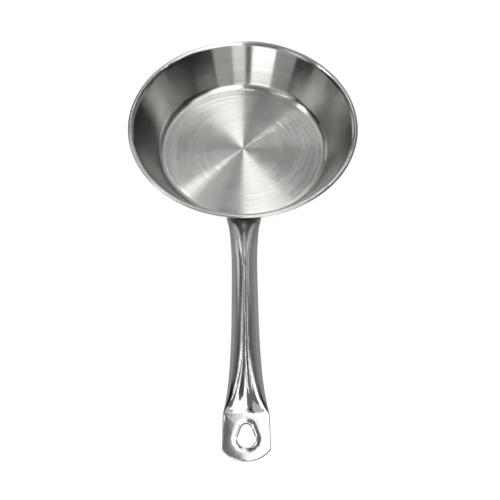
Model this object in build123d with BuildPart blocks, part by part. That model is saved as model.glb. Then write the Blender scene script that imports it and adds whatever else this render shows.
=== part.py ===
from build123d import *
import os
from math import cos, radians, sin, sqrt, tan

# Stainless steel omelette pan: a pressed bowl on a sandwich base, and a handle made from one round tube
# whose two ends are pressed, the near end into an open dished mouth and the far end into a flat tab with
# an egg-shaped hanging hole. Millimetres, +Z up, origin at the centre of the face that sits on the hob.
# The handle runs along -Y.

# Bowl
rim_radius = 120.0
bowl_depth = 44.0
lip_width = 4.66
wall_slope = 61.35
floor_fillet = 9.0
lip_bend = 5.0
lip_edge_flat = 0.1
pan_sheet = 1.0

# Sandwich base
base_margin = 7.3
cap_sheet = 0.6
cap_corner = 1.6
spreader_thickness = 5.0

# Handle line: an arc seen from the side, steeper at the wall and flatter towards the tab
root_drop = 13.8
root_slope = 16.0
tab_slope = 5.5
formed_length = 215.7

# Round grip between the two pressed ends
tube_sheet = 1.2
grip_half_width = 11.7
grip_rise = 11.2
grip_belly = 11.5
groove_half_width = 1.95
groove_depth = 0.4

# Pressed mouth at the wall, which starts inside the wall and is trimmed to it
mouth_run = 84.0
mouth_lead_in = 14.0
mouth_half_width = 17.7
mouth_flank = 0.7
mouth_rise = 5.6
mouth_valley = 3.6
mouth_belly = 8.0
scallop_margin = 1.6
scallop_depth = 12.0

# Pressed tab
tab_run = 100.0
tab_half_width_start = 18.3
tab_half_width_end = 18.6
tab_nose = 8.8
tab_tip_margin = 10.2
tab_flank = 1.0
tab_thickness = 2.6
tab_step = 0.1
tab_corner_round = 3.0
tab_edge_round = 0.8
tab_overlap = 0.6

# Hanging hole, wide end towards the tip, with a soft shallow dish pressed round it
hole_wide_radius = 7.0
hole_wide_place = 19.8
hole_narrow_radius = 4.3
hole_narrow_place = 11.7
dish_margin = 4.5
dish_depth = 0.45
dish_steps = 5

# Bracket welded to the wall, with a tongue inside the tube
bracket_sheet = 1.5
bracket_width = 32.0
bracket_head = 2.1
bracket_foot = 9.8
bracket_corner = 4.0
tongue_half_width = 6.5
tongue_headroom = 0.4
weld_button_radius = 2.4
weld_button_offset = 10.0
weld_button_margin = 3.2
weld_button_proud = 0.3
plug_radius = 3.0
plug_proud = 0.2

# Weld bead round the underside of the mouth
bead_leg = 2.4
bead_drop = 5.0
bead_chamfer = 1.2

# Fits
weld_clearance = 0.05
fit_clearance = 0.1
overrun = 5.0

# Roundness of a curve that stands for a quarter of an ellipse
quarter_share = 0.5523
# How far the groove's side runs level before it turns
groove_turn_share = 0.45

# The pressed ends, station by station: where it lies along its run, then how far each size has gone from
# the grip's value to the end's value: half width, ridge offset, ridge rise, groove level, belly.
mouth_shares = [
    (0.000, 1.000, 1.000, 1.000, 0.750, 1.000),
    (0.167, 0.913, 0.962, 1.000, 0.778, 0.943),
    (0.250, 0.754, 0.879, 0.982, 0.833, 0.857),
    (0.333, 0.556, 0.680, 0.911, 0.917, 0.743),
    (0.417, 0.397, 0.470, 0.786, 1.000, 0.600),
    (0.542, 0.246, 0.252, 0.482, 0.667, 0.400),
    (0.708, 0.103, 0.130, 0.196, 0.278, 0.200),
    (0.875, 0.024, 0.050, 0.036, 0.069, 0.057),
    (1.000, 0.000, 0.000, 0.000, 0.000, 0.000),
]
tab_shares = [
    (0.00, 0.000, 0.000, 0.000, 0.000, 0.000),
    (0.20, 0.017, 0.000, 0.000, 0.005, 0.010),
    (0.40, 0.090, 0.010, 0.010, 0.031, 0.050),
    (0.55, 0.183, 0.040, 0.040, 0.094, 0.130),
    (0.67, 0.290, 0.115, 0.100, 0.188, 0.240),
    (0.77, 0.433, 0.235, 0.190, 0.313, 0.410),
    (0.85, 0.583, 0.370, 0.330, 0.479, 0.600),
    (0.91, 0.733, 0.520, 0.490, 0.635, 0.760),
    (0.96, 0.883, 0.730, 0.730, 0.823, 0.890),
    (1.00, 1.000, 1.000, 1.000, 1.000, 1.000),
]
# The hollow stops one station before the tab, and the tongue and its plug welds lie at the first stations
hollow_stations = len(mouth_shares) + len(tab_shares) - 1
tongue_stations = 7
plug_stations = (4, 5)

# Heights and radii that follow from the sizes above
floor_height = cap_sheet + spreader_thickness + pan_sheet
underside = floor_height - pan_sheet
rim_height = floor_height + bowl_depth
lip_corner_radius = rim_radius - lip_width
floor_corner_radius = lip_corner_radius - bowl_depth / tan(radians(wall_slope))
mitre = pan_sheet * tan(radians(wall_slope) / 2)


def wall_radius(height, standoff):
    """Radius of the cone that stands off the bowl's inner wall, at a height."""
    run = (height - floor_height) / tan(radians(wall_slope))
    return floor_corner_radius + run + standoff / sin(radians(wall_slope))


def wall_cone(standoff):
    """Solid of everything inside that cone."""
    with BuildPart() as cone:
        with BuildSketch(Plane.XZ):
            with BuildLine():
                Polyline(
                    (0, 0),
                    (wall_radius(0, standoff), 0),
                    (wall_radius(rim_height + overrun, standoff), rim_height + overrun),
                    (0, rim_height + overrun),
                    close=True,
                )
            make_face()
        revolve(axis=Axis.Z)
    return cone.part


# Handle line
root_height = rim_height - root_drop
root_radius = wall_radius(root_height, pan_sheet)
bend_radius = formed_length / radians(root_slope - tab_slope)


def slope_at(along):
    """Slope of the handle line, in degrees, at a distance along it from the wall."""
    return root_slope - (root_slope - tab_slope) * along / formed_length


def station_plane(along):
    """Plane square to the handle line: its x is across the handle, its y is the handle's own up."""
    start, here = radians(root_slope), radians(slope_at(along))
    run = bend_radius * (sin(start) - sin(here))
    rise = bend_radius * (cos(here) - cos(start))
    point = (0, -root_radius - run, root_height + rise)
    return Plane(origin=point, x_dir=(1, 0, 0), z_dir=(0, -cos(here), sin(here)))


mouth_ridge = mouth_half_width - mouth_flank
tab_ridge = tab_half_width_start - tab_flank
pinch_level = tab_thickness / 2 - tab_step

# Tube sections: each is (distance along the line, half width, ridge offset, ridge rise, groove level, belly)
grip_sizes = (grip_half_width, groove_half_width, grip_rise, grip_rise - groove_depth, grip_belly)
mouth_sizes = (mouth_half_width, mouth_ridge, mouth_rise, mouth_valley, mouth_belly)
tab_sizes = (tab_half_width_start, tab_ridge, pinch_level, pinch_level, pinch_level)


def between(end_sizes, row):
    """The sizes of one station, from the grip's sizes, an end's sizes and a row of shares."""
    return tuple(grip + (end - grip) * share for grip, end, share in zip(grip_sizes, end_sizes, row[1:]))


sections = [(row[0] * mouth_run - mouth_lead_in, *between(mouth_sizes, row)) for row in mouth_shares]
sections += [(formed_length - tab_run + row[0] * tab_run, *between(tab_sizes, row)) for row in tab_shares]


def tube_section(section, inset):
    """Face of the tube at one station, drawn in by a wall thickness. Its six curves stay separate, so that
    the loft joins like with like: belly, flank and groove on one hand, and the same on the other."""
    along, half_width, ridge, rise, groove, belly = section
    side = half_width - inset
    peak = ridge * side / half_width
    top, centre, low = rise - inset, groove - inset, belly - inset
    belly_curve = [(0, -low), (side * quarter_share, -low), (side, -low * quarter_share), (side, 0)]
    flank_turn = peak + (side - peak) * quarter_share
    flank_curve = [(side, 0), (side, top * quarter_share), (flank_turn, top), (peak, top)]
    groove_start, groove_end = peak * (1 - groove_turn_share), peak * groove_turn_share
    groove_curve = [(peak, top), (groove_start, top), (groove_end, centre), (0, centre)]
    half = (belly_curve, flank_curve, groove_curve)
    with BuildLine(station_plane(along)):
        right = [Bezier(*curve) for curve in half]
        left = [Bezier(*[(-across, up) for across, up in reversed(curve)]) for curve in reversed(half)]
    return Face(Wire(right + left))


def tube_core(inset, stations):
    """Solid lofted through the tube's stations, drawn in by a wall thickness."""
    with BuildPart() as core:
        loft([tube_section(section, inset) for section in stations])
    return core.part


# Pan body: one sheet, pressed to a flat floor, a sloping wall and a flared lip
with BuildPart() as pan_body:
    with BuildSketch(Plane.XZ) as wall_profile:
        with BuildLine():
            inside = FilletPolyline(
                (0, floor_height),
                (floor_corner_radius, floor_height),
                (lip_corner_radius, rim_height),
                (rim_radius, rim_height),
                radius=[floor_fillet, lip_bend],
            )
            outside = FilletPolyline(
                (0, underside),
                (floor_corner_radius + mitre, underside),
                (lip_corner_radius + mitre, rim_height - pan_sheet),
                (rim_radius, rim_height - pan_sheet),
                radius=[floor_fillet + pan_sheet, lip_bend - pan_sheet],
            )
            Line(inside @ 0, outside @ 0)
            Line(inside @ 1, outside @ 1)
        make_face()
        edge_corners = wall_profile.vertices().group_by(Axis.X)[-1]
        fillet(edge_corners, radius=(pan_sheet - lip_edge_flat) / 2)
    revolve(axis=Axis.Z)
pan_body.part.label = "pan_body"

# Heat spreader: an aluminium disc under the floor, its lower edge chamfered clear of the cap's inner corner
base_radius = floor_corner_radius - base_margin
spreader_radius = base_radius - cap_sheet - fit_clearance
spreader_chamfer = cap_corner - cap_sheet + 2 * fit_clearance
with BuildPart() as heat_spreader:
    with BuildSketch(Plane.XY.offset(cap_sheet)):
        Circle(spreader_radius)
    extrude(amount=spreader_thickness)
    chamfer(heat_spreader.edges().group_by(Axis.Z)[0], length=spreader_chamfer)
heat_spreader.part.label = "heat_spreader"

# Base cap: a magnetic steel tray that closes over the spreader and meets the pan's underside
with BuildPart() as base_cap:
    with BuildSketch(Plane.XY):
        Circle(base_radius)
    extrude(amount=underside)
    fillet(base_cap.edges().group_by(Axis.Z)[0], radius=cap_corner)
    with BuildSketch(Plane.XY.offset(cap_sheet)):
        Circle(base_radius - cap_sheet)
    extrude(amount=spreader_thickness, mode=Mode.SUBTRACT)
    seat_edge = base_cap.edges().filter_by(lambda e: abs(e.center().Z - cap_sheet) < weld_clearance)
    fillet(seat_edge, radius=cap_corner - cap_sheet)
base_cap.part.label = "base_cap"

# Handle bracket: a saddle plate on the wall, and a tongue that lies in the bottom of the tube
bracket_high = root_height + mouth_rise + bracket_head
bracket_low = root_height - mouth_belly - bracket_foot
saddle_height = bracket_high - bracket_low
saddle_centre = (bracket_high + bracket_low) / 2
wall_face = pan_sheet + weld_clearance
saddle_face = wall_face + bracket_sheet
button_spots = [
    (hand * weld_button_offset, height)
    for hand in (-1, 1)
    for height in (bracket_low + weld_button_margin, bracket_high - weld_button_margin)
]


def wall_button(spot, radius, proud):
    """Round button square to the wall at a spot (across, height), standing proud of the bracket."""
    across, height = spot
    lean = radians(90 - wall_slope)
    reach = wall_radius(height, pan_sheet)
    foot = sqrt(reach**2 - across**2)
    out = (across / reach * cos(lean), -foot / reach * cos(lean), -sin(lean))
    with BuildPart() as button:
        with BuildSketch(Plane(origin=(across, -foot, height), z_dir=out)):
            Circle(radius)
        extrude(amount=bracket_sheet + proud)
        extrude(button.faces().sort_by(Axis.Y)[-1], amount=bracket_sheet)
        add(wall_cone(wall_face), mode=Mode.SUBTRACT)
    return button.part


def tongue_section(section):
    """Face of the tongue at one station: a strip that lies on the tube's inner bottom."""
    along, half_width, _, _, _, belly = section
    inset = tube_sheet + fit_clearance
    low = belly - inset
    edge = low * sqrt(1 - (tongue_half_width / (half_width - inset)) ** 2)
    low_left, low_right = (-tongue_half_width, -edge), (tongue_half_width, -edge)
    top_left = (-tongue_half_width, bracket_sheet - edge)
    top_right = (tongue_half_width, bracket_sheet - edge)
    with BuildLine(station_plane(along)):
        under = ThreePointArc(low_left, (0, -low), low_right)
        right = Line(low_right, top_right)
        over = ThreePointArc(top_right, (0, bracket_sheet - low), top_left)
        left = Line(top_left, low_left)
    return Face(Wire([under, right, over, left]))


with BuildPart() as tongue:
    loft([tongue_section(section) for section in sections[:tongue_stations]])

with BuildPart() as handle_bracket:
    with BuildSketch(Plane.XZ):
        with Locations((0, saddle_centre)):
            RectangleRounded(bracket_width, saddle_height, bracket_corner)
    extrude(amount=rim_radius)
    add(wall_cone(saddle_face), mode=Mode.INTERSECT)
    add(tongue.part)
    add(wall_cone(wall_face), mode=Mode.SUBTRACT)
    for spot in button_spots:
        add(wall_button(spot, weld_button_radius + weld_clearance, overrun), mode=Mode.SUBTRACT)
handle_bracket.part.label = "handle_bracket"

# Spot welds that hold the bracket to the wall
with BuildPart() as bracket_spot_welds:
    for spot in button_spots:
        add(wall_button(spot, weld_button_radius, weld_button_proud))
bracket_spot_welds.part.label = "bracket_spot_welds"


# Plug welds that hold the tube to the tongue, through two holes in the tube's underside
def belly_plug(section, radius, height):
    """Round plug that starts just outside the tube's belly at a station and rises into the tube."""
    station = station_plane(section[0])
    foot = station.origin - station.y_dir * (section[5] + plug_proud)
    with BuildPart() as plug:
        with BuildSketch(Plane(origin=foot, x_dir=(1, 0, 0), z_dir=station.y_dir)):
            Circle(radius)
        extrude(amount=height)
    return plug.part


plug_height = plug_proud + tube_sheet + fit_clearance + bracket_sheet / 2
with BuildPart() as tongue_plug_welds:
    for index in plug_stations:
        add(belly_plug(sections[index], plug_radius, plug_height))
    add(tongue.part, mode=Mode.SUBTRACT)
tongue_plug_welds.part.label = "tongue_plug_welds"

# Flat tab of the tube, pressed shut, with its egg-shaped hole and the dish round that
tab_length = hole_wide_place + hole_wide_radius + tab_tip_margin
tab_side_length = tab_length - tab_nose
tab_plane = station_plane(formed_length)
tab_face = Plane(origin=tab_plane.origin, x_dir=(1, 0, 0), z_dir=tab_plane.y_dir)
tab_top = tab_thickness / 2


def egg_outline(level, margin):
    """Sketch of the hanging hole's outline, grown by a margin, at a level above the tab's middle."""
    with BuildSketch(tab_face.offset(level)) as egg:
        with Locations((0, -hole_wide_place)):
            Circle(hole_wide_radius + margin)
        with Locations((0, -hole_narrow_place)):
            Circle(hole_narrow_radius + margin)
        make_hull()
    return egg.sketch


def dish_section(step):
    """Outline of the dish so many steps out from the hole. Its slope fades away towards its edge."""
    out = step / dish_steps
    fade = (1 - out) * abs(1 - out)
    return egg_outline(tab_top - dish_depth * fade, dish_margin * out)


with BuildPart() as tab:
    with BuildSketch(tab_face.offset(-tab_top)) as tab_outline:
        with BuildLine():
            Polyline(
                (tab_half_width_end, -tab_side_length),
                (tab_half_width_start, tab_overlap),
                (-tab_half_width_start, tab_overlap),
                (-tab_half_width_end, -tab_side_length),
            )
            ThreePointArc(
                (-tab_half_width_end, -tab_side_length),
                (0, -tab_length),
                (tab_half_width_end, -tab_side_length),
            )
        make_face()
        far_corners = tab_outline.vertices().filter_by(lambda v: v.Y < -tab_side_length / 2)
        fillet(far_corners, radius=tab_corner_round)
    extrude(amount=tab_thickness)
    end_arcs = tab.edges().filter_by(GeomType.CIRCLE).filter_by(lambda e: e.length > tab_half_width_end)
    fillet(end_arcs, radius=tab_edge_round)
    dish_sections = [dish_section(step) for step in range(dish_steps)]
    dish_sections.append(dish_section(dish_steps + 1))
    loft(dish_sections, ruled=True, mode=Mode.SUBTRACT)
    extrude(egg_outline(-tab_top, 0), amount=tab_thickness, mode=Mode.SUBTRACT)

# Cutter that opens the top of the mouth, over a shallow V so that the bottom of the tube stays whole
mouth_plane = station_plane(0)
tongue_top = mouth_belly - tube_sheet - fit_clearance - bracket_sheet
scallop_half_width = mouth_half_width - scallop_margin
with BuildPart() as scallop:
    with BuildSketch(station_plane(-scallop_depth)):
        Polygon(
            (-scallop_half_width, -2 * tube_sheet),
            (0, tongue_headroom - tongue_top),
            (scallop_half_width, -2 * tube_sheet),
            (scallop_half_width, mouth_rise + overrun),
            (-scallop_half_width, mouth_rise + overrun),
            align=None,
        )
    extrude(amount=2 * scallop_depth + overrun)
    with BuildSketch(Plane(origin=mouth_plane.origin, x_dir=(1, 0, 0), z_dir=mouth_plane.y_dir)):
        Ellipse(scallop_half_width, scallop_depth)
    extrude(amount=mouth_rise + 2 * overrun, both=True, mode=Mode.INTERSECT)

# Handle tube: hollow from the mouth to where the tab is pinched shut
with BuildPart() as handle_tube:
    add(tube_core(0, sections))
    add(tab.part)
    add(tube_core(tube_sheet, sections[:hollow_stations]), mode=Mode.SUBTRACT)
    add(wall_cone(saddle_face + weld_clearance), mode=Mode.SUBTRACT)
    add(scallop.part, mode=Mode.SUBTRACT)
    for index in plug_stations:
        hole_height = plug_proud + tube_sheet + overrun
        add(belly_plug(sections[index], plug_radius + weld_clearance, hole_height), mode=Mode.SUBTRACT)
handle_tube.part.label = "handle_tube"

# Weld bead along the underside of the mouth, between the tube and the saddle plate
with BuildPart() as mouth_weld:
    add(tube_core(-bead_leg, sections[:tongue_stations]))
    add(wall_cone(saddle_face + bead_leg), mode=Mode.INTERSECT)
    add(tube_core(-weld_clearance, sections[:tongue_stations]), mode=Mode.SUBTRACT)
    add(wall_cone(saddle_face + weld_clearance), mode=Mode.SUBTRACT)
    bead_top = mouth_plane.origin - mouth_plane.y_dir * bead_drop
    split(bisect_by=Plane(origin=bead_top, z_dir=mouth_plane.y_dir), keep=Keep.BOTTOM)
    outer_cone = mouth_weld.faces().filter_by(GeomType.CONE).sort_by(Axis.Y)[0]
    corner_edges = outer_cone.edges().group_by(SortBy.LENGTH)[-1]
    chamfer(corner_edges, length=bead_chamfer)
mouth_weld.part.label = "mouth_weld"

os.makedirs("parts", exist_ok=True)
for piece in (
    pan_body,
    heat_spreader,
    base_cap,
    handle_bracket,
    bracket_spot_welds,
    tongue_plug_welds,
    handle_tube,
    mouth_weld,
):
    export_step(piece.part, f"parts/{piece.part.label}.step")
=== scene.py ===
"""Looks of the stainless steel omelette pan: its brushed and polished steel, weld bead, studio and camera."""

import logging
import math
from dataclasses import dataclass, field
from enum import Enum

import bpy
from mathutils import Matrix, Vector


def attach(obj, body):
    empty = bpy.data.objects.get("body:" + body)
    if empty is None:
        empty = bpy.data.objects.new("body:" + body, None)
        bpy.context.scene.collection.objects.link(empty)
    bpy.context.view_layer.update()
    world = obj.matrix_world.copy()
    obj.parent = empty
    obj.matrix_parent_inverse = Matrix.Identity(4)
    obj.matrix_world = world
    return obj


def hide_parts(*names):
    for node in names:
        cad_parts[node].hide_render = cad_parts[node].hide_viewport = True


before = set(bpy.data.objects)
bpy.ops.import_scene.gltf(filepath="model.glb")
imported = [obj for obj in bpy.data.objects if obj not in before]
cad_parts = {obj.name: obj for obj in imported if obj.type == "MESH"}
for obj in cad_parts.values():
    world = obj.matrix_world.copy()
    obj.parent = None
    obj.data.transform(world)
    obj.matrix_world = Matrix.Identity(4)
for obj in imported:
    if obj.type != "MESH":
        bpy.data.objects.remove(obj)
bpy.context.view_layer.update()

log = logging.getLogger("omelette_pan")

Socket = bpy.types.NodeSocket
Colour = tuple[float, float, float, float]
Place = tuple[float, float, float]

MILLIMETRE = 0.001
NUMBER = "NodeSocketFloat"
VECTOR = "NodeSocketVector"
UP = (0.0, 0.0, 1.0)
LEVEL = (1.0, 1.0, 0.0)
MIDDLE = 0.5
WIDEST_PANEL = 80.0


class Graph:
    """A shader node tree that is filled node by node."""

    def __init__(self, tree: bpy.types.NodeTree) -> None:
        """Takes the tree to fill.

        Args:
            tree: The node tree of a material or a node group.
        """
        self.tree = tree

    def add(self, kind: str, inputs: dict | None = None, **settings) -> bpy.types.Node:
        """Adds a node.

        Args:
            kind: The node's Blender type.
            inputs: What each input socket is fed, a plain value or another node's socket.
            settings: The node's own options.

        Returns:
            The new node.
        """
        node = self.tree.nodes.new(kind)
        for name, value in settings.items():
            setattr(node, name, value)
        for name, value in (inputs or {}).items():
            self.feed(node.inputs[name], value)
        return node

    def feed(self, socket: Socket, value: object) -> None:
        """Links a socket to another, or sets its plain value."""
        if isinstance(value, bpy.types.NodeSocket):
            self.tree.links.new(value, socket)
        else:
            socket.default_value = value

    def maths(self, operation: str, *values: object, clamp: bool = False) -> Socket:
        """Adds one sum on numbers.

        Args:
            operation: The Math node's operation.
            values: Its inputs in order.
            clamp: Whether the result stays between 0 and 1.

        Returns:
            The result's socket.
        """
        node = self.add("ShaderNodeMath", dict(enumerate(values)), operation=operation, use_clamp=clamp)
        return node.outputs[0]

    def vectors(self, operation: str, *values: object) -> Socket:
        """Adds one sum on vectors.

        Args:
            operation: The Vector Math node's operation.
            values: Its inputs in order.

        Returns:
            The resulting vector's socket.
        """
        node = self.add("ShaderNodeVectorMath", dict(enumerate(values)), operation=operation)
        return node.outputs["Vector"]

    def length(self, vector: object) -> Socket:
        """Returns the length of a vector."""
        return self.add("ShaderNodeVectorMath", {0: vector}, operation="LENGTH").outputs["Value"]

    def scaled(self, vector: object, factor: object) -> Socket:
        """Returns a vector times a number."""
        node = self.add("ShaderNodeVectorMath", {0: vector, "Scale": factor}, operation="SCALE")
        return node.outputs["Vector"]

    def noise(self, vector: Socket, detail: float, roughness: float) -> Socket:
        """Returns the value of a noise texture whose grains are one unit of the vector."""
        inputs = {"Vector": vector, "Scale": 1.0, "Detail": detail, "Roughness": roughness}
        return self.add("ShaderNodeTexNoise", inputs).outputs["Fac"]

    def ramp(self, value: Socket, low: float, high: float, start: float = 0.0, end: float = 1.0) -> Socket:
        """Maps a value smoothly from one range to another.

        Args:
            value: What is mapped.
            low: The value that gives start.
            high: The value that gives end.
            start: The result at low.
            end: The result at high.

        Returns:
            The mapped value's socket.
        """
        inputs = {"Value": value, "From Min": low, "From Max": high, "To Min": start, "To Max": end}
        node = self.add("ShaderNodeMapRange", inputs, interpolation_type="SMOOTHSTEP")
        return node.outputs["Result"]

    def blend(self, factor: object, first: object, second: object, way: str = "MIX") -> Socket:
        """Mixes two colours.

        Args:
            factor: How much of the second shows.
            first: The colour below.
            second: The colour above.
            way: How the second is laid on the first.

        Returns:
            The mixed colour's socket.
        """
        node = self.add("ShaderNodeMix", data_type="RGBA", blend_type=way, clamp_factor=True)
        colours = [socket for socket in node.inputs if socket.type == "RGBA"]
        self.feed(node.inputs[0], factor)
        self.feed(colours[0], first)
        self.feed(colours[1], second)
        return next(socket for socket in node.outputs if socket.type == "RGBA")


def new_group(name: str, inputs: dict[str, str], outputs: dict[str, str]) -> tuple[Graph, dict, dict]:
    """Starts a shader node group.

    Args:
        name: The group's name.
        inputs: The kind of each input, by name.
        outputs: The kind of each output, by name.

    Returns:
        The graph to fill, the sockets that bring the inputs, and those that take the outputs.
    """
    tree = bpy.data.node_groups.new(name, "ShaderNodeTree")
    for label, kind in inputs.items():
        tree.interface.new_socket(label, in_out="INPUT", socket_type=kind)
    for label, kind in outputs.items():
        tree.interface.new_socket(label, in_out="OUTPUT", socket_type=kind)
    graph = Graph(tree)
    brings = graph.add("NodeGroupInput").outputs
    takes = graph.add("NodeGroupOutput").inputs
    return graph, {label: brings[label] for label in inputs}, {label: takes[label] for label in outputs}


def brush_lines_group() -> bpy.types.NodeTree:
    """Makes the fine lines that a belt or a brush leaves in steel.

    Returns:
        A node group with Lean, how far a line's flank leans to either side of level, and Tone, a mask of
        lighter and darker lines.
    """
    graph, given, wanted = new_group(
        "brush_lines",
        {"Vector": VECTOR, "Pitch": NUMBER, "Tone Pitch": NUMBER},
        {"Lean": NUMBER, "Tone": NUMBER},
    )
    lines_per_band = 7.0
    band_share = 0.15
    tone_low, tone_high = 0.35, 0.65
    per_line = graph.maths("DIVIDE", 1.0, given["Pitch"])
    fine = graph.noise(graph.scaled(given["Vector"], per_line), 2.0, 0.8)
    per_band = graph.maths("DIVIDE", per_line, lines_per_band)
    band = graph.noise(graph.scaled(given["Vector"], per_band), 3.0, 0.6)
    banded = graph.maths("MULTIPLY", graph.maths("SUBTRACT", band, MIDDLE), band_share)
    lean = graph.maths("ADD", graph.maths("SUBTRACT", fine, MIDDLE), banded)
    graph.feed(wanted["Lean"], lean)
    per_tone = graph.maths("DIVIDE", 1.0, given["Tone Pitch"])
    tone = graph.noise(graph.scaled(given["Vector"], per_tone), 2.0, 0.75)
    graph.feed(wanted["Tone"], graph.ramp(tone, tone_low, tone_high))
    return graph.tree


def leaning_normal_group() -> bpy.types.NodeTree:
    """Leans the surface across its brush lines, as the flanks of many fine scratches do.

    Returns:
        A node group that turns Across, a direction on the surface, and Lean into Normal.
    """
    graph, given, wanted = new_group(
        "leaning_normal", {"Across": VECTOR, "Lean": NUMBER}, {"Normal": VECTOR}
    )
    level = graph.add("ShaderNodeNewGeometry").outputs["Normal"]
    leaning = graph.scaled(graph.vectors("NORMALIZE", given["Across"]), given["Lean"])
    graph.feed(wanted["Normal"], graph.vectors("NORMALIZE", graph.vectors("ADD", level, leaning)))
    return graph.tree


def handling_marks_group() -> bpy.types.NodeTree:
    """Makes the faint cloudiness and hairline scratches of steel that has been wiped and handled.

    Returns:
        A node group with Smudge and Scratch, two masks.
    """
    graph, given, wanted = new_group(
        "handling_marks", {"Vector": VECTOR, "Size": NUMBER}, {"Smudge": NUMBER, "Scratch": NUMBER}
    )
    stretch = (1.0, 0.06, 1.0)
    turn = (0.4, 0.9, 0.7)
    aside = (7.0, 3.0, 5.0)
    scratch_width = 0.006
    smudge_low, smudge_high = 0.42, 0.72
    scratched_low, scratched_high = 0.5, 0.6
    per_size = graph.maths("DIVIDE", 1.0, given["Size"])
    placed = graph.scaled(given["Vector"], per_size)
    cloud = graph.noise(placed, 4.0, 0.55)
    graph.feed(wanted["Smudge"], graph.ramp(cloud, smudge_low, smudge_high))
    turned = graph.add("ShaderNodeMapping", {"Vector": placed, "Rotation": turn, "Scale": stretch})
    hairs = graph.noise(turned.outputs["Vector"], 1.0, 0.4)
    off_line = graph.maths("ABSOLUTE", graph.maths("SUBTRACT", hairs, MIDDLE))
    line = graph.ramp(off_line, 0.0, scratch_width, 1.0, 0.0)
    patches = graph.noise(graph.vectors("ADD", placed, aside), 2.0, 0.5)
    scratched = graph.ramp(patches, scratched_low, scratched_high)
    graph.feed(wanted["Scratch"], graph.maths("MULTIPLY", line, scratched))
    return graph.tree


class Strokes(Enum):
    """Which way a finish was brushed."""

    ROUND = "round the pan's axis"
    ALONG = "along the handle"


@dataclass(frozen=True)
class HandleLine:
    """The handle's centre line, seen from the side: a shallow bend from the wall to the tab."""

    start_y: float = -108.94 * MILLIMETRE
    start_z: float = 36.8 * MILLIMETRE
    start_rise: float = 0.2867
    bend: float = 1092.6 * MILLIMETRE

    def height(self, graph: Graph, y: Socket) -> Socket:
        """Adds the nodes for the line's height.

        Args:
            graph: The graph to add to.
            y: The place along Y.

        Returns:
            The height's socket.
        """
        along = graph.maths("SUBTRACT", self.start_y, y)
        climb = graph.maths("MULTIPLY_ADD", along, self.start_rise, self.start_z)
        droop = graph.maths("DIVIDE", graph.maths("MULTIPLY", along, along), 2 * self.bend)
        return graph.maths("SUBTRACT", climb, droop)


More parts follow.
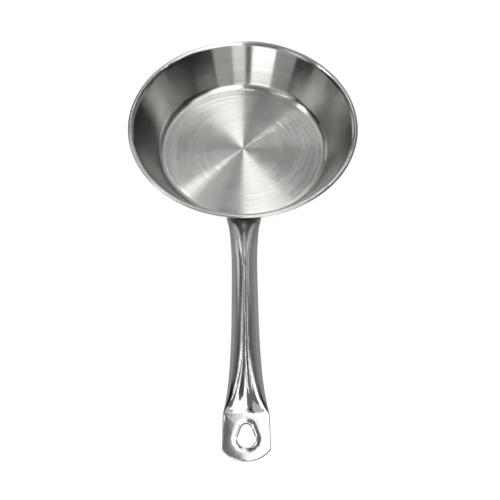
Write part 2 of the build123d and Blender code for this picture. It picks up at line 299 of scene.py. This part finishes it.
@dataclass(frozen=True)
class SteelFinish:
    """One brushed or polished finish of the pan's metal."""

    name: str
    strokes: Strokes
    tint: Colour
    roughness: float
    anisotropy: float
    line_pitch: float
    line_lean: float
    tone_pitch: float = 1.1 * MILLIMETRE
    tone_depth: float = 0.14
    smudge_depth: float = 0.04
    scratch_depth: float = 0.06
    mark_size: float = 30 * MILLIMETRE
    stroke_turns: float = 0.06 * MILLIMETRE
    stroke_stretch: float = 0.006
    along_slope: float = -0.18

    def line_space(self, graph: Graph, position: Socket) -> Socket:
        """Adds the nodes for a space in which the brush strokes run along its short directions.

        Args:
            graph: The graph to add to.
            position: The surface point, in metres.

        Returns:
            The vector's socket, in metres across the strokes.
        """
        x, y, z = graph.add("ShaderNodeSeparateXYZ", {0: position}).outputs
        if self.strokes is Strokes.ROUND:
            flat = graph.vectors("MULTIPLY", position, LEVEL)
            turning = graph.scaled(graph.vectors("NORMALIZE", flat), self.stroke_turns)
            across = graph.add("ShaderNodeCombineXYZ", {"Z": graph.maths("ADD", graph.length(flat), z)})
            return graph.vectors("ADD", turning, across.outputs[0])
        level = graph.maths("SUBTRACT", z, HandleLine().height(graph, y))
        along = graph.maths("MULTIPLY", y, self.stroke_stretch)
        return graph.add("ShaderNodeCombineXYZ", {"X": x, "Y": along, "Z": level}).outputs[0]

    def across_strokes(self, graph: Graph, position: Socket) -> Socket:
        """Adds the nodes for the direction across the strokes, in which the steel spreads its shine.

        Args:
            graph: The graph to add to.
            position: The surface point, in metres.

        Returns:
            The direction's socket.
        """
        along: object = (0.0, 1.0, self.along_slope)
        if self.strokes is Strokes.ROUND:
            along = graph.vectors("CROSS_PRODUCT", UP, position)
        normal = graph.add("ShaderNodeNewGeometry").outputs["Normal"]
        return graph.vectors("CROSS_PRODUCT", along, normal)

    def lean_here(self, graph: Graph, position: Socket) -> object:
        """Returns how strongly the lines lean, the same all over unless a finish says otherwise."""
        return self.line_lean

    def roughness_here(self, graph: Graph, position: Socket) -> object:
        """Returns the roughness, the same all over unless a finish says otherwise."""
        return self.roughness

    def build(self) -> bpy.types.Material:
        """Makes the material.

        Returns:
            A material that reads Object coordinates, so that the pattern stays on the metal.
        """
        material = bpy.data.materials.new(self.name)
        material.use_nodes = True
        material.node_tree.nodes.clear()
        graph = Graph(material.node_tree)
        position = graph.add("ShaderNodeTexCoord").outputs["Object"]
        lines = graph.add("ShaderNodeGroup", node_tree=bpy.data.node_groups["brush_lines"])
        graph.feed(lines.inputs["Vector"], self.line_space(graph, position))
        graph.feed(lines.inputs["Pitch"], self.line_pitch)
        graph.feed(lines.inputs["Tone Pitch"], self.tone_pitch)
        across = self.across_strokes(graph, position)
        leaning = graph.add("ShaderNodeGroup", node_tree=bpy.data.node_groups["leaning_normal"])
        graph.feed(leaning.inputs["Across"], across)
        lean = graph.maths("MULTIPLY", lines.outputs["Lean"], self.lean_here(graph, position))
        graph.feed(leaning.inputs["Lean"], lean)
        marks = graph.add("ShaderNodeGroup", node_tree=bpy.data.node_groups["handling_marks"])
        graph.feed(marks.inputs["Vector"], position)
        graph.feed(marks.inputs["Size"], self.mark_size)
        darker = tuple(channel * (1 - self.tone_depth) for channel in self.tint[:3]) + (1.0,)
        colour = graph.blend(lines.outputs["Tone"], darker, self.tint)
        smudged = graph.maths(
            "MULTIPLY_ADD", marks.outputs["Smudge"], self.smudge_depth, self.roughness_here(graph, position)
        )
        rough = graph.maths("MULTIPLY_ADD", marks.outputs["Scratch"], self.scratch_depth, smudged)
        shader = graph.add(
            "ShaderNodeBsdfPrincipled",
            {
                "Base Color": colour,
                "Metallic": 1.0,
                "Roughness": rough,
                "Anisotropic": self.anisotropy,
                "Tangent": across,
                "Normal": leaning.outputs["Normal"],
            },
        )
        graph.add("ShaderNodeOutputMaterial", {"Surface": shader.outputs[0]})
        return material


@dataclass(frozen=True)
class BowlFinish(SteelFinish):
    """The bowl's finish, ground more finely on the wall than on the floor."""

    floor_radius: float = 84 * MILLIMETRE
    wall_start_radius: float = 93 * MILLIMETRE
    wall_lean: float = 0.35
    wall_roughness: float = 0.165

    def along_radius(self, graph: Graph, position: Socket, on_floor: float, on_wall: float) -> Socket:
        """Adds the nodes for a value that changes from the floor to the wall.

        Args:
            graph: The graph to add to.
            position: The surface point, in metres.
            on_floor: The value on the floor.
            on_wall: The value on the wall.

        Returns:
            The value's socket.
        """
        radius = graph.length(graph.vectors("MULTIPLY", position, LEVEL))
        return graph.ramp(radius, self.floor_radius, self.wall_start_radius, on_floor, on_wall)

    def roughness_here(self, graph: Graph, position: Socket) -> object:
        """Returns the roughness, lower on the wall."""
        return self.along_radius(graph, position, self.roughness, self.wall_roughness)

    def lean_here(self, graph: Graph, position: Socket) -> object:
        """Returns how strongly the lines lean, weaker on the wall."""
        return self.along_radius(graph, position, self.line_lean, self.wall_lean)


@dataclass(frozen=True)
class HandleFinish(SteelFinish):
    """The handle's finish: satin at the mouth, which was blasted after welding, bright at the tab."""

    mouth_y: float = -122 * MILLIMETRE
    grip_y: float = -165 * MILLIMETRE
    neck_y: float = -290 * MILLIMETRE
    tab_y: float = -318 * MILLIMETRE
    mouth_roughness: float = 0.42
    tab_roughness: float = 0.1

    def roughness_here(self, graph: Graph, position: Socket) -> object:
        """Adds the nodes that change the roughness along the handle.

        Args:
            graph: The graph to add to.
            position: The surface point, in metres.

        Returns:
            The roughness's socket.
        """
        y = graph.add("ShaderNodeSeparateXYZ", {0: position}).outputs["Y"]
        near = graph.ramp(y, self.grip_y, self.mouth_y, self.roughness, self.mouth_roughness)
        far = graph.ramp(y, self.tab_y, self.neck_y, self.tab_roughness - self.roughness, 0.0)
        return graph.maths("ADD", near, far)


BRUSHED_BOWL = BowlFinish(
    "brushed_bowl_steel",
    Strokes.ROUND,
    tint=(0.60, 0.595, 0.575, 1.0),
    roughness=0.2,
    anisotropy=0.95,
    line_pitch=0.1 * MILLIMETRE,
    line_lean=2.0,
    tone_pitch=0.8 * MILLIMETRE,
    tone_depth=0.2,
)
POLISHED_HANDLE = HandleFinish(
    "polished_handle_steel",
    Strokes.ALONG,
    tint=(0.62, 0.615, 0.60, 1.0),
    roughness=0.18,
    anisotropy=0.3,
    line_pitch=0.3 * MILLIMETRE,
    line_lean=0.015,
)
BASE_STEEL = SteelFinish(
    "turned_base_steel",
    Strokes.ROUND,
    tint=(0.56, 0.555, 0.54, 1.0),
    roughness=0.24,
    anisotropy=0.9,
    line_pitch=0.5 * MILLIMETRE,
    line_lean=1.0,
)
SPREADER_ALUMINIUM = SteelFinish(
    "spreader_aluminium",
    Strokes.ROUND,
    tint=(0.78, 0.78, 0.77, 1.0),
    roughness=0.45,
    anisotropy=0.7,
    line_pitch=0.8 * MILLIMETRE,
    line_lean=0.6,
)
BRACKET_STEEL = SteelFinish(
    "bracket_steel",
    Strokes.ALONG,
    tint=(0.52, 0.515, 0.50, 1.0),
    roughness=0.42,
    anisotropy=0.4,
    line_pitch=0.5 * MILLIMETRE,
    line_lean=0.2,
)
WELD_METAL = SteelFinish(
    "weld_metal",
    Strokes.ALONG,
    tint=(0.42, 0.40, 0.37, 1.0),
    roughness=0.45,
    anisotropy=0.0,
    line_pitch=0.9 * MILLIMETRE,
    line_lean=0.3,
)


@dataclass
class SubAssembly:
    """Some pieces of the pan that belong together."""

    merge_distance: float = 0.001 * MILLIMETRE

    def dress_node(self, node_name: str, slot_name: str, finish: SteelFinish) -> None:
        """Gives a CAD piece its finish.

        Args:
            node_name: The piece.
            slot_name: Not used.
            finish: The finish.
        """
        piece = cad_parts[node_name]
        self.dress_piece(piece, slot_name, finish)

    def copy_of_node(self, node_name: str, name: str) -> bpy.types.Object:
        """Copies a CAD piece, merges its loose triangles and leaves the copy selected.

        Args:
            node_name: The piece.
            name: The copy's name.

        Returns:
            The copy, with a mesh of its own.
        """
        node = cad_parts[node_name]
        piece = bpy.data.objects.new(name, node.data.copy())
        bpy.context.scene.collection.objects.link(piece)
        bpy.ops.object.select_all(action="DESELECT")
        piece.select_set(True)
        bpy.context.view_layer.objects.active = piece
        bpy.ops.object.mode_set(mode="EDIT")
        bpy.ops.mesh.select_all(action="SELECT")
        bpy.ops.mesh.remove_doubles(threshold=self.merge_distance)
        bpy.ops.object.mode_set(mode="OBJECT")
        return piece

    def dress_piece(self, piece: bpy.types.Object, slot_name: str, finish: SteelFinish) -> None:
        """Gives any piece its finish in each of its material slots."""
        material = bpy.data.materials.get(finish.name) or finish.build()
        for place in piece.material_slots:
            place.material = material
        log.info("%s finished as %s", piece.name, finish.name)


@dataclass
class Bowl(SubAssembly):
    """The pressed bowl, brushed round its axis."""

    node: str = "pan_body"

    def build(self) -> None:
        """Dresses the bowl."""
        self.dress_node(self.node, "brushed_bowl", BRUSHED_BOWL)


@dataclass
class SandwichBase(SubAssembly):
    """The cap and the aluminium disc under the bowl."""

    cap_node: str = "base_cap"
    spreader_node: str = "heat_spreader"

    def build(self) -> None:
        """Dresses the cap and the disc."""
        self.dress_node(self.cap_node, "base_steel", BASE_STEEL)
        self.dress_node(self.spreader_node, "spreader_aluminium", SPREADER_ALUMINIUM)


@dataclass
class Handle(SubAssembly):
    """The handle tube with its pressed mouth and tab."""

    node: str = "handle_tube"
    smooth_below: float = 32.0

    def build_skin(self) -> bpy.types.Object:
        """Copies the tube and blends the shading over its seams.

        Returns:
            The copy, which replaces the plain tube.
        """
        skin = self.copy_of_node(self.node, "smooth_handle")
        bpy.ops.object.shade_smooth_by_angle(angle=math.radians(self.smooth_below))
        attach(skin, "root")
        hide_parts(self.node)
        return skin

    def build(self) -> None:
        """Dresses the tube."""
        self.dress_piece(self.build_skin(), "polished_handle", POLISHED_HANDLE)


@dataclass
class HandleMounting(SubAssembly):
    """The bracket and the welds between the handle and the wall."""

    bracket_node: str = "handle_bracket"
    spot_node: str = "bracket_spot_welds"
    plug_node: str = "tongue_plug_welds"
    bead_node: str = "mouth_weld"
    grain: float = 0.25 * MILLIMETRE
    ripple_pitch: float = 1.3 * MILLIMETRE
    ripple_depth: float = 0.28 * MILLIMETRE
    ripple_sag: float = 0.5
    scallop_pitch: float = 5.7 * MILLIMETRE
    scallop_depth: float = 0.12 * MILLIMETRE

    def ripple(self, place: Vector) -> float:
        """Says how deep the bead's surface lies below the plain one.

        Args:
            place: The point, in metres.

        Returns:
            The depth: the ripples that the puddle left, and the welder's slower sway.
        """
        along = place.x + self.ripple_sag * abs(place.z)
        quick = MIDDLE - MIDDLE * math.cos(math.tau * along / self.ripple_pitch)
        slow = MIDDLE - MIDDLE * math.sin(math.tau * along / self.scallop_pitch)
        return self.ripple_depth * quick + self.scallop_depth * slow

    def build_bead(self) -> bpy.types.Object:
        """Models the rippled weld bead over the CAD's plain one.

        Returns:
            The bead, which replaces the plain one.
        """
        bead = self.copy_of_node(self.bead_node, "rippled_bead")
        even = bead.modifiers.new("even_grain", "REMESH")
        even.mode = "VOXEL"
        even.voxel_size = self.grain
        bpy.ops.object.modifier_apply(modifier=even.name)
        moves = [vertex.normal * self.ripple(vertex.co) for vertex in bead.data.vertices]
        for vertex, move in zip(bead.data.vertices, moves):
            vertex.co -= move
        bpy.ops.object.shade_smooth()
        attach(bead, "root")
        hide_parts(self.bead_node)
        return bead

    def build(self) -> None:
        """Dresses the bracket and the welds."""
        self.dress_node(self.bracket_node, "bracket_steel", BRACKET_STEEL)
        for node_name in (self.spot_node, self.plug_node):
            self.dress_node(node_name, "weld_metal", WELD_METAL)
        self.dress_piece(self.build_bead(), "weld_metal", WELD_METAL)


@dataclass(frozen=True)
class Softbox:
    """A rectangular studio light."""

    name: str
    centre: Place
    aim: Place
    width: float
    height: float
    radiance: float
    turn: float = 0.0
    seen_in_metal: bool = True

    def hang(self) -> None:
        """Puts the light in the scene, facing its aim."""
        lamp = bpy.data.lights.new(self.name, "AREA")
        lamp.shape = "RECTANGLE"
        lamp.size = self.width
        lamp.size_y = self.height
        lamp.energy = self.radiance * math.pi * self.width * self.height
        holder = bpy.data.objects.new(self.name, lamp)
        bpy.context.scene.collection.objects.link(holder)
        beam = Vector(self.aim) - Vector(self.centre)
        facing = beam.to_track_quat("-Z", "Y").to_matrix()
        turned = facing @ Matrix.Rotation(math.radians(self.turn), 3, "Z")
        holder.matrix_world = Matrix.Translation(self.centre) @ turned.to_4x4()
        holder.visible_glossy = self.seen_in_metal
        log.info("light %s", self.name)


@dataclass(frozen=True)
class Panel:
    """A light panel that stands round the pan."""

    name: str
    bearing: float
    spread: float
    radiance: float
    rise: float = 15.0
    tall: float = 30.0

    def as_softbox(self, distance: float, level: float) -> Softbox:
        """Places the panel.

        Args:
            distance: How far it stands from the middle of the pan.
            level: The height of the point it faces.

        Returns:
            The softbox.
        """
        bearing, rise = math.radians(self.bearing), math.radians(self.rise)
        reach = distance * math.cos(rise)
        centre = (reach * math.cos(bearing), reach * math.sin(bearing), level + distance * math.sin(rise))
        width = 2 * reach * math.tan(math.radians(min(self.spread, WIDEST_PANEL)) / 2)
        height = 2 * distance * math.tan(math.radians(self.tall) / 2)
        return Softbox(self.name, centre, (0.0, 0.0, level), width, height, self.radiance)


@dataclass(frozen=True)
class Overhead:
    """A light that hangs level over the pan."""

    name: str
    across: float
    back: float
    width: float
    depth: float
    radiance: float
    turn: float = 0.0

    def as_softbox(self, height: float) -> Softbox:
        """Places the light at a height and returns the softbox."""
        centre = (self.across, self.back, height)
        aim = (self.across, self.back, 0.0)
        return Softbox(self.name, centre, aim, self.width, self.depth, self.radiance, self.turn)


@dataclass
class Studio:
    """Floor, lights, surroundings and camera."""

    floor_half: float = 4.0
    surround: Colour = (0.004, 0.004, 0.004, 1.0)
    backdrop: Colour = (0.96, 0.96, 0.96, 1.0)
    floor_colour: Colour = (0.08, 0.08, 0.08, 1.0)
    floor_glow: Colour = (0.96, 0.96, 0.96, 1.0)
    floor_glow_in_metal: Colour = (0.27, 0.27, 0.26, 1.0)
    floor_roughness: float = 0.9
    floor_shine: float = 0.1
    fill_height: float = 2.6
    fill_side: float = 3.6
    fill_radiance: float = 3.2
    camera_place: Place = (-2.84 * MILLIMETRE, -487.67 * MILLIMETRE, 609.5 * MILLIMETRE)
    camera_aim: Place = (5.30 * MILLIMETRE, -155.92 * MILLIMETRE, 50.6 * MILLIMETRE)
    camera_roll: float = 0.773
    focal_share: float = 697.5 / 500
    sensor: float = 36.0
    nearest: float = 0.01
    overhead_height: float = 1.2
    panel_distance: float = 1.5
    panel_level: float = 0.03
    panels: list[Panel] = field(
        default_factory=lambda: [
            Panel("window", -111.0, 23.0, 2.4),
            Panel("window_edge", -86.5, 13.0, 1.3),
            Panel("front_right", -70.5, 19.0, 0.5),
            Panel("front_left", -133.0, 20.0, 0.45),
            Panel("left", -170.5, 17.0, 0.24),
            Panel("left_back", -210.0, 20.0, 0.24),
            Panel("left_wall", -228.0, 15.0, 1.0),
            Panel("back_wall", 90.0, 60.0, 0.55),
            Panel("right_back", 34.0, 44.0, 0.31),
            Panel("right", -3.0, 16.0, 0.15),
            Panel("upper_front", 240.0, 90.0, 0.7, rise=43.0, tall=25.0),
            Panel("upper_right", 45.0, 60.0, 0.15, rise=43.0, tall=25.0),
        ]
    )
    overheads: list[Overhead] = field(
        default_factory=lambda: [
            Overhead("key", 0.12, 0.28, 0.24, 0.44, 2.2),
            Overhead("key_right", 0.33, 0.24, 0.19, 0.46, 2.0, turn=38.0),
            Overhead("key_middle", 0.21, -0.12, 0.42, 0.36, 2.8),
            Overhead("key_front", 0.30, -0.75, 0.60, 0.90, 2.2),
            Overhead("streak", -0.56, 0.36, 0.66, 0.14, 4.3, turn=37.0),
            Overhead("streak_front", -0.48, -0.02, 0.48, 0.14, 2.8, turn=30.0),
            Overhead("left_ceiling", -0.60, -0.09, 1.20, 1.26, 0.2),
            Overhead("right_ceiling", 0.60, -0.09, 1.20, 1.26, 0.1),
            Overhead("left_back_ceiling", -0.84, 1.11, 0.72, 1.14, 0.15),
            Overhead("right_back_ceiling", 0.55, 1.6, 0.80, 0.90, 0.5),
            Overhead("back_left", -0.33, 0.73, 0.30, 0.46, 1.0),
            Overhead("back_right", 0.09, 0.73, 0.18, 0.46, 1.7),
            Overhead("far_middle", -0.06, 1.20, 0.16, 0.75, 2.2),
            Overhead("far_left", -0.24, 2.28, 0.48, 1.20, 2.0),
        ]
    )

    def lay_floor(self) -> bpy.types.Object:
        """Makes the plain pale floor.

        Returns:
            The floor.
        """
        bpy.ops.object.select_all(action="DESELECT")
        bpy.ops.mesh.primitive_plane_add(size=2 * self.floor_half)
        floor = bpy.context.object
        floor.name = "studio_floor"
        material = bpy.data.materials.new("pale_floor")
        material.use_nodes = True
        graph = Graph(material.node_tree)
        shader = material.node_tree.nodes["Principled BSDF"]
        seen_straight = graph.add("ShaderNodeLightPath").outputs["Is Camera Ray"]
        shader.inputs["Base Color"].default_value = self.floor_colour
        glow = graph.blend(seen_straight, self.floor_glow_in_metal, self.floor_glow)
        graph.feed(shader.inputs["Emission Color"], glow)
        shader.inputs["Emission Strength"].default_value = 1.0
        shader.inputs["Roughness"].default_value = self.floor_roughness
        shader.inputs["Specular IOR Level"].default_value = self.floor_shine
        floor.data.materials.append(material)
        return floor

    def set_surroundings(self) -> None:
        """Makes the dim room between the lights, which the camera sees as a pale backdrop."""
        scene = bpy.context.scene
        scene.world = bpy.data.worlds.new("dim_room")
        scene.world.use_nodes = True
        graph = Graph(scene.world.node_tree)
        seen_straight = graph.add("ShaderNodeLightPath").outputs["Is Camera Ray"]
        background = scene.world.node_tree.nodes["Background"]
        graph.feed(background.inputs["Color"], graph.blend(seen_straight, self.surround, self.backdrop))
        background.inputs["Strength"].default_value = 1.0
        scene.view_settings.view_transform = "Standard"

    def place_camera(self) -> bpy.types.Object:
        """Puts the camera where the photograph was taken from.

        Returns:
            The camera.
        """
        lens = bpy.data.cameras.new("camera")
        lens.sensor_width = self.sensor
        lens.lens = self.focal_share * self.sensor
        lens.clip_start = self.nearest
        camera = bpy.data.objects.new("camera", lens)
        bpy.context.scene.collection.objects.link(camera)
        back = (Vector(self.camera_place) - Vector(self.camera_aim)).normalized()
        right = Vector(UP).cross(back).normalized()
        up = back.cross(right)
        facing = Matrix((right, up, back)).transposed()
        rolled = facing @ Matrix.Rotation(math.radians(self.camera_roll), 3, "Z")
        camera.matrix_world = Matrix.Translation(self.camera_place) @ rolled.to_4x4()
        bpy.context.scene.camera = camera
        return camera

    def hang_lights(self) -> None:
        """Hangs every light; the fill only brightens the floor and isn't seen in the metal."""
        for panel in self.panels:
            panel.as_softbox(self.panel_distance, self.panel_level).hang()
        for overhead in self.overheads:
            overhead.as_softbox(self.overhead_height).hang()
        Softbox(
            "floor_fill",
            (0.0, 0.0, self.fill_height),
            (0.0, 0.0, 0.0),
            self.fill_side,
            self.fill_side,
            self.fill_radiance,
            seen_in_metal=False,
        ).hang()

    def set_up(self) -> None:
        """Makes the whole studio."""
        self.place_camera()
        self.lay_floor()
        self.set_surroundings()
        self.hang_lights()


def dress_pan() -> None:
    """Makes the shared effects, then builds and dresses each sub-assembly."""
    brush_lines_group()
    leaning_normal_group()
    handling_marks_group()
    for assembly in (Bowl(), SandwichBase(), Handle(), HandleMounting()):
        assembly.build()


def main() -> None:
    """Builds the studio and the pan."""
    logging.basicConfig(level=logging.INFO, format="%(name)s: %(message)s")
    Studio().set_up()
    dress_pan()


if __name__ == "__main__":
    main()
